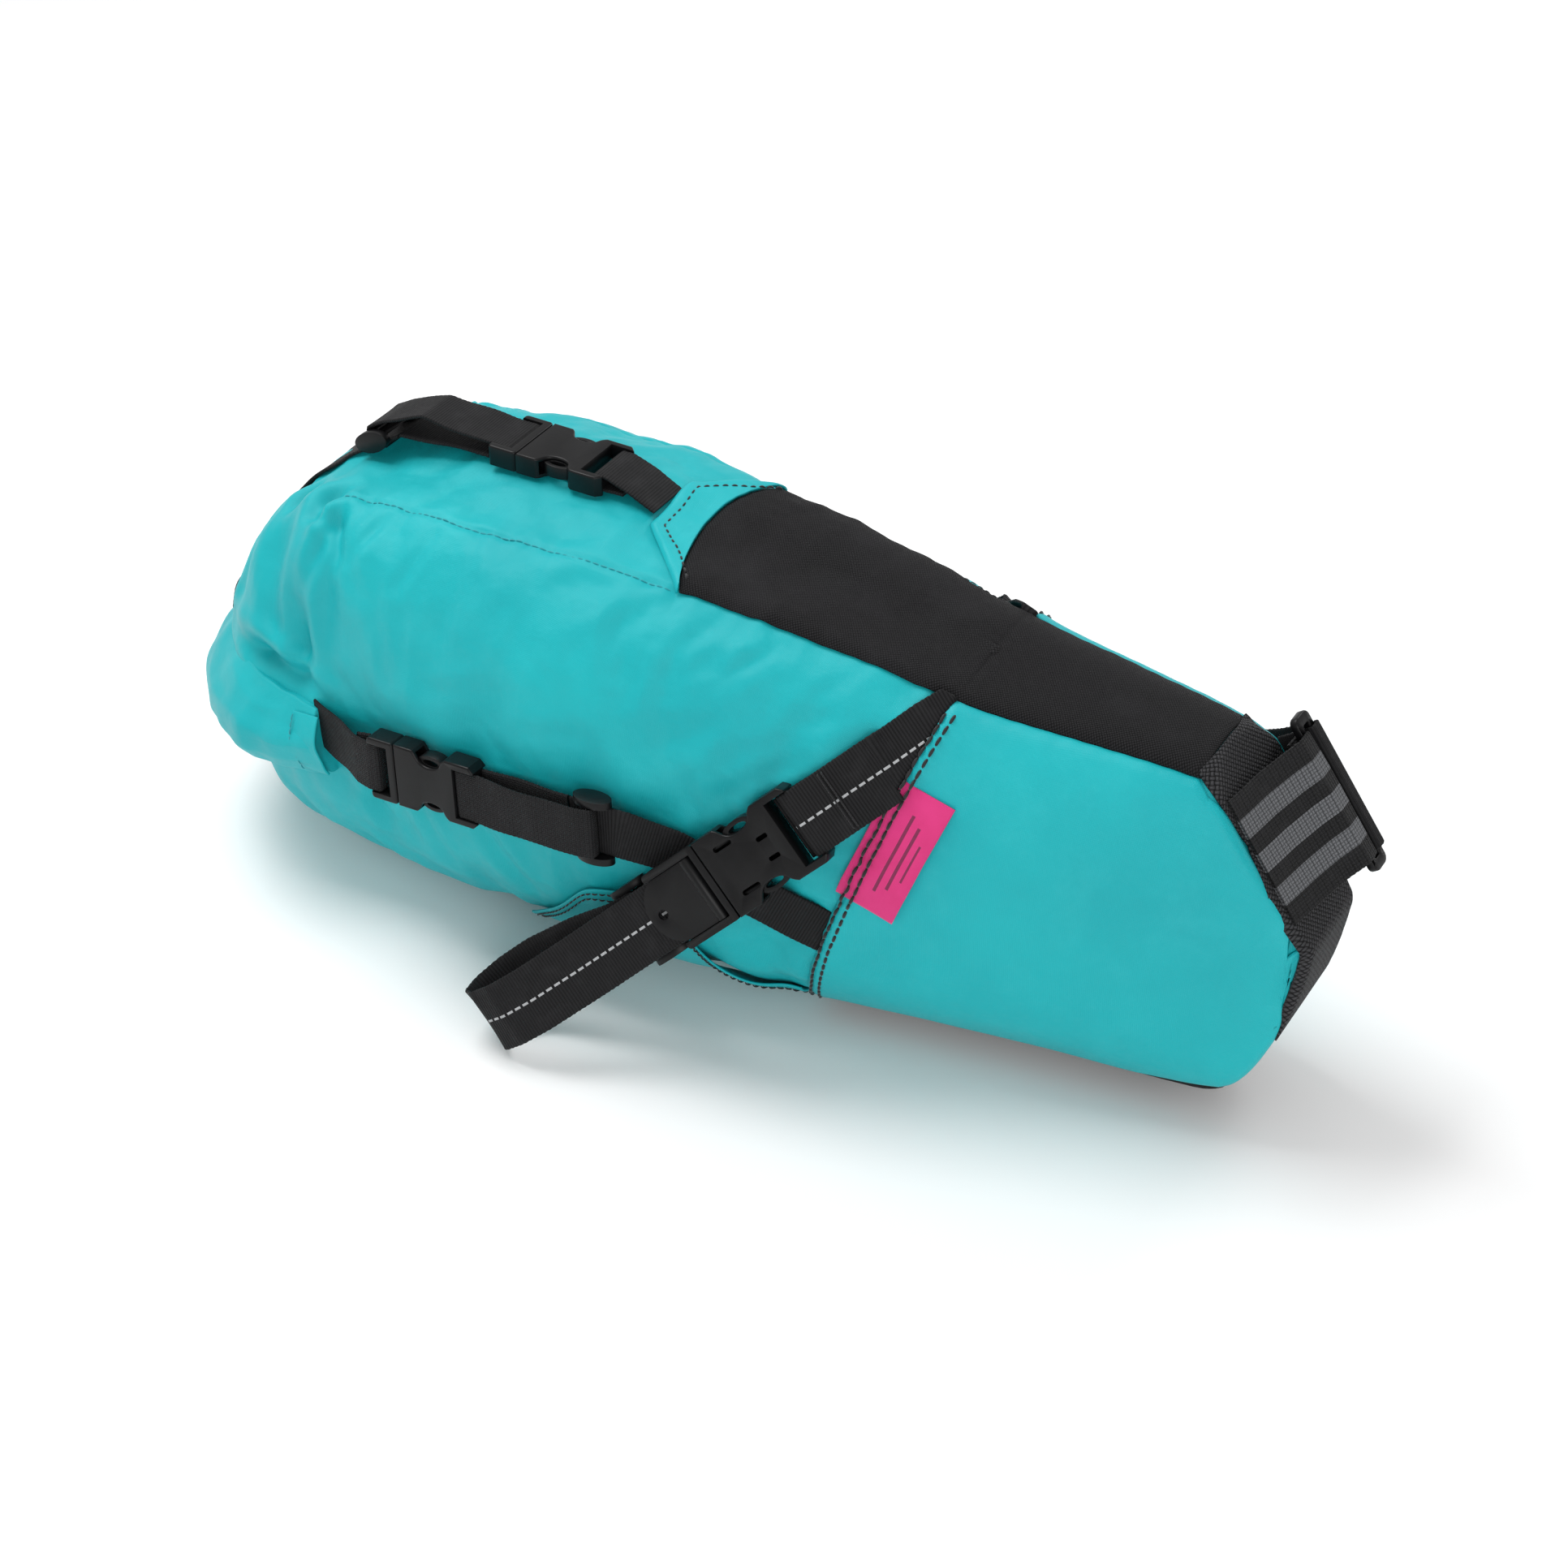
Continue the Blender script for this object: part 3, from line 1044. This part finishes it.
def tape(name, centre, across, kind, body, side=1.0, soft=1.0, uneven=0.15, change=None):
    """Woven tape along a 3-D line in mm. across is its width's direction at each given point."""
    width, material, slot = kind
    centre, across = np.asarray(centre, float), np.asarray(across, float)
    if across.ndim == 1:
        across = np.repeat(across[None], len(centre), 0)
    total = np.linalg.norm(np.diff(centre, axis=0), axis=1).sum()
    count = int(max(24, total / 0.8))
    both = smooth_path(np.concatenate([centre, across], 1), count, soft)
    line, wide = both[:, :3], unit(both[:, 3:])
    along = unit(np.gradient(line, axis=0))
    wide = unit(wide - along * np.sum(wide * along, 1, keepdims=True))
    face = np.cross(along, wide)
    s = run_length(line)
    half, h = width / 2, TAPE_THICK / 2
    profile = [(a, h) for a in np.linspace(-half + 0.5, half - 0.5, 26 if change else 8)]
    profile += [(half - 0.05, h * 0.55), (half, 0), (half - 0.05, -h * 0.55)]
    profile += [(-a, -h) for a, b in profile if b == h]
    profile += [(-half + 0.05, -h * 0.55), (-half, 0), (-half + 0.05, h * 0.55)]
    profile.append(profile[0])
    pts, uv = [], []
    phase = np.random.default_rng(1).uniform(0, 6, 4)
    for a, b in profile:
        edge = abs(a) / half
        saw = 0.12 * np.sin(s * 2 * math.pi / 2.2 + phase[0]) * (edge > 0.9)
        bow = np.sin(s / 9 + phase[1] + np.sign(a)) + np.sin(s / 4.3 + phase[2] * np.sign(a))
        bow = uneven * edge ** 2 * bow
        pts.append(line + wide * (a + np.sign(a) * saw)[:, None] + face * (b + bow)[:, None])
        uv.append(np.stack([s, np.full(len(s), a)], 1))
    pts, uv = np.stack(pts, 1), np.stack(uv, 1) * MM
    if change:
        pts = change(pts)
    if side < 0:
        pts = mirrored(pts)
    nu, nv = pts.shape[:2]
    faces = grid_faces(nu, nv, side < 0)
    ring = list(range(nv - 1))
    faces.append(ring if side > 0 else ring[::-1])
    last = [(nu - 1) * nv + q for q in range(nv - 1)]
    faces.append(last[::-1] if side > 0 else last)
    made = put(name, pts.reshape(-1, 3) * MM, faces, uv.reshape(-1, 2), material, body)
    node = name.replace("_web", "")
    if node in NODES:
        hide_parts(node)
    return made


def routed(name, strap, route, kind, body, side=1.0, **more):
    """Woven tape along a route in its strap's own plane."""
    route = np.asarray(route, float)
    return tape(name, strap.at(route[:, 0], route[:, 1]), strap.y, kind, body, side, **more)


def build_top_strap():
    front = [(57, -1.4), (47, 3.6), (37, 6.9), (32, 6.9), (32, 1.4), (37, 1.4), (44, 2)]
    routed("top_strap_front_web", TOP, front, PLAIN_TAPE, "bag")
    loop = [(-159, 172.5), (-164.5, 170), (-166.1, 173.6), (-158, 178.5), (-140, 185.4), (-112, 183.4)]
    loop += [(-100.9, 183.4), (-100.9, 177.9), (-112, 177.9), (-132, 176.2), (-150.8, 174.4)]
    web = routed("top_strap_loop_web", WORLD, loop, PLAIN_TAPE, "bag", soft=2.0, uneven=0.3)
    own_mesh(web)
    rear = [(-151.7, 173.4), (-163, 166.8), (-176, 159), (-190, 147.5), (-204, 133.5), (-216, 114)]
    rear += [(-228.5, 97), (-239, 82), (-243.5, 68), (-243, 52), (-234, 32), (-217, 22), (-203, 24)]
    routed("top_strap_rear_web", WORLD, rear, PLAIN_TAPE, "bag", soft=7.0, uneven=0.3)


def on_cloth(*places):
    """Points on the right side at these x, z and lifts."""
    return [surf(np.array(x), th_side(x, z), lift)[0] for x, z, lift in places]


def build_side_straps():
    rear = [(-49, -9), (-40, -5), (-29, 0), (-20, 4.8), (-12.5, 6.9), (-8.1, 6.9), (-8.1, 1.4)]
    rear += [(-12.5, 1.4), (-20, 3.1)]
    loop = [(79, 2.75), (85.95, 2.75), (85.95, 6.65), (80, 7.6), (60, 8.2), (37, 6.9), (27.6, 6.9)]
    loop += [(27.6, 1.4), (37, 1.4), (60, 1.2), (73, 1.15)]
    front = [SIDE.at(73.7, 1.15), SIDE.at(93, 1.15), (6, -74.2, 83), (22, -71.4, 76)]
    front += on_cloth((56, 60, 1.1), (66, 55.5, -0.6), (74, 52, -3.0))
    wide = np.array([SIDE.y, SIDE.y] + [np.cross([0.1, -1, 0], unit((0.85, 0.25, -0.4)))] * 5)
    for side, sign in SIDES:
        routed("side_strap_rear_web_" + side, SIDE, rear, GRID_TAPE, "bag", sign, uneven=0.3)
        name = "side_strap_loop_web_" + side
        web = routed(name, SIDE, loop, GRID_TAPE, "bag", sign, soft=1.5, uneven=0.3)
        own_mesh(web)
        name = "side_strap_front_web_" + side
        tape(name, front, wide, PLAIN_TAPE, "bag", sign, soft=5.0, change=tucked)


def build_rail_straps():
    upper = [(73.9, 0.5), (60, 2.5), (52, 4.6), (43, 6.9), (37.9, 6.9), (37.9, 1.4), (43, 1.4), (50, 2.6)]
    loop = [(-42, -9.75), (-38.05, -9.75), (-38.05, -5.85), (-50, -6.4), (-68, -8.8), (-88, -10.8)]
    loop += [(-101, -10.6), (-110, -6), (-113, 0.5), (-110, 6.5), (-101, 9.8), (-88, 9.2), (-68, 5)]
    loop += [(-34, 1.55), (-4.2, 1.55), (-4.2, -0.95), (-26, -0.95), (-33.5, -11.35), (-47, -11.35)]
    skew = [0, 0, 0, 1.0, 4.5, 6.5, 6.5, 5.5, 4, 2.5, 1.2, 0.4, 0, 0, 0, 0, 0, 0, 0]
    line = RAIL.at([a for a, _ in loop], [b for _, b in loop], skew)
    tail = [(33.2, 0.75), (38, 0.3), (46, 0.6), (54, 1.6)]
    root = [RAIL.at(73.7, 0.45), RAIL.at(76, 0.6)]
    root += on_cloth((81, 133.5, 1.9), (90, 142.0, 1.6), (98, 147.5, 1.0), (104, 151, 0.6))
    wide = np.array([RAIL.y, RAIL.y] + [0.72 * RAIL.y + 0.28 * np.array([-0.5, 0.7, 0.1])] * 4)
    for side, sign in SIDES:
        strap, insert = "rail_strap_" + side, "rail_insert_" + side
        routed("rail_strap_upper_web_" + side, RAIL, upper, TRACER_TAPE, strap, sign, soft=1.2)
        bar_tack("rail_tack_" + side, 54.5, 5.2, 23, strap, sign)
        name = "rail_strap_loop_web_" + side
        tape(name, line, RAIL.y, TRACER_TAPE, insert, sign, soft=3.0, uneven=0.2)
        tape("rail_strap_root_web_" + side, root, wide, TRACER_TAPE, "bag", sign, change=tucked)
        routed("rail_strap_tail_web_" + side, RAIL, tail, TAIL_TAPE, strap, sign, soft=2.0)


def bar_tack(name, x, up, width, body, side):
    """Two dense rows of stitching across a rail strap."""
    for row in range(2):
        p = RAIL.at(x + row * 1.7, up, np.linspace(-width / 2, width / 2, 40))
        p, n = on_side(side, p, np.repeat(RAIL.z[None], 40, 0))
        stitches(f"{name}_{row}", p, n, BLACK_THREAD, body, 1.1, 1.6, 0.34, 0.0)


def build_post_strap():
    web = [(-21, 2.6), (-6, 7), (6, 12.3), (13, 16.95), (19.95, 16.95), (19.95, 12.05), (12, 12.05)]
    hook = [(22, 2.8), (22.05, 9), (22.05, 16.95), (26.95, 16.95), (26.95, 9.2)]
    flap = [(26.95, 9.2), (27.3, 6), (28.2, 1), (34.5, -14)]
    routed("post_strap_web", POST, web, STRIPED_TAPE, "bag", soft=1.5, uneven=0.35)
    routed("hook_strap_web", POST, hook, HOOK_TAPE, "bag")
    routed("hook_flap_web", POST, flap, HOOK_TAPE, "hook_flap", soft=1.5)


# ------------------------------------------------------------------ hardware keeps its CAD shape
def finish_hardware():
    for name, node in NODES.items():
        if node.hide_render:
            continue
        sheet = "stiffener" in name
        node.data.materials.clear()
        node.data.materials.append(SHEET if sheet else PLASTIC)
        if sheet:
            continue
        weld = node.modifiers.new("weld", "WELD")
        weld.merge_threshold = 0.00001
        bevel = node.modifiers.new("edges", "BEVEL")
        bevel.width = 0.00045
        bevel.segments = 2
        bevel.limit_method = "ANGLE"
        bevel.angle_limit = math.radians(35)
        bevel.harden_normals = False
        node.data.polygons.foreach_set("use_smooth", [True] * len(node.data.polygons))


def build_stage():
    bpy.ops.mesh.primitive_plane_add(size=6.0, location=(0, 0, 0))
    floor = bpy.context.object
    floor.name = "floor"
    mat = bpy.data.materials.new("floor")
    mat.use_nodes = True
    bsdf = mat.node_tree.nodes["Principled BSDF"]
    bsdf.inputs["Base Color"].default_value = (0.93, 0.93, 0.93, 1)
    bsdf.inputs["Roughness"].default_value = 0.9
    floor.data.materials.append(mat)
    world = bpy.data.worlds.new("studio")
    bpy.context.scene.world = world
    world.use_nodes = True
    world.node_tree.nodes["Background"].inputs[0].default_value = (1, 1, 1, 1)
    world.node_tree.nodes["Background"].inputs[1].default_value = 0.56
    for name, place, size, power in (
        ("key", (-0.6, 0.0, 1.25), 0.7, 12.5),
        ("rim", (0.3, 1.2, 0.8), 0.5, 5.0),
        ("fill", (0.8, -1.2, 0.6), 0.8, 7.5),
    ):
        data = bpy.data.lights.new(name, "AREA")
        data.size = size
        data.energy = power
        lamp = bpy.data.objects.new(name, data)
        lamp.location = place
        lamp.rotation_mode = "QUATERNION"
        lamp.rotation_quaternion = (Vector(place) - Vector((0, 0, 0.08))).to_track_quat("Z", "Y")
        bpy.context.scene.collection.objects.link(lamp)
    az, el, far = math.radians(30), math.radians(36), 1.15
    back = Vector((math.sin(az) * math.cos(el), -math.cos(az) * math.cos(el), math.sin(el)))
    data = bpy.data.cameras.new("camera")
    data.sensor_width = 36.0
    data.lens = 36.0 * 3800 / 1932
    camera = bpy.data.objects.new("camera", data)
    camera.location = Vector((0.008, 0, 0.0666)) + back * far
    camera.rotation_mode = "QUATERNION"
    camera.rotation_quaternion = back.to_track_quat("Z", "Y")
    bpy.context.scene.collection.objects.link(camera)
    bpy.context.scene.camera = camera
    bpy.context.scene.view_settings.view_transform = "Standard"


build_body()
build_top_panel()
build_side_panels()
build_boot()
build_nose_patch()
build_stitching()
build_wings()
build_label()
build_roll()
build_top_strap()
build_side_straps()
build_rail_straps()
build_post_strap()
finish_hardware()
build_stage()
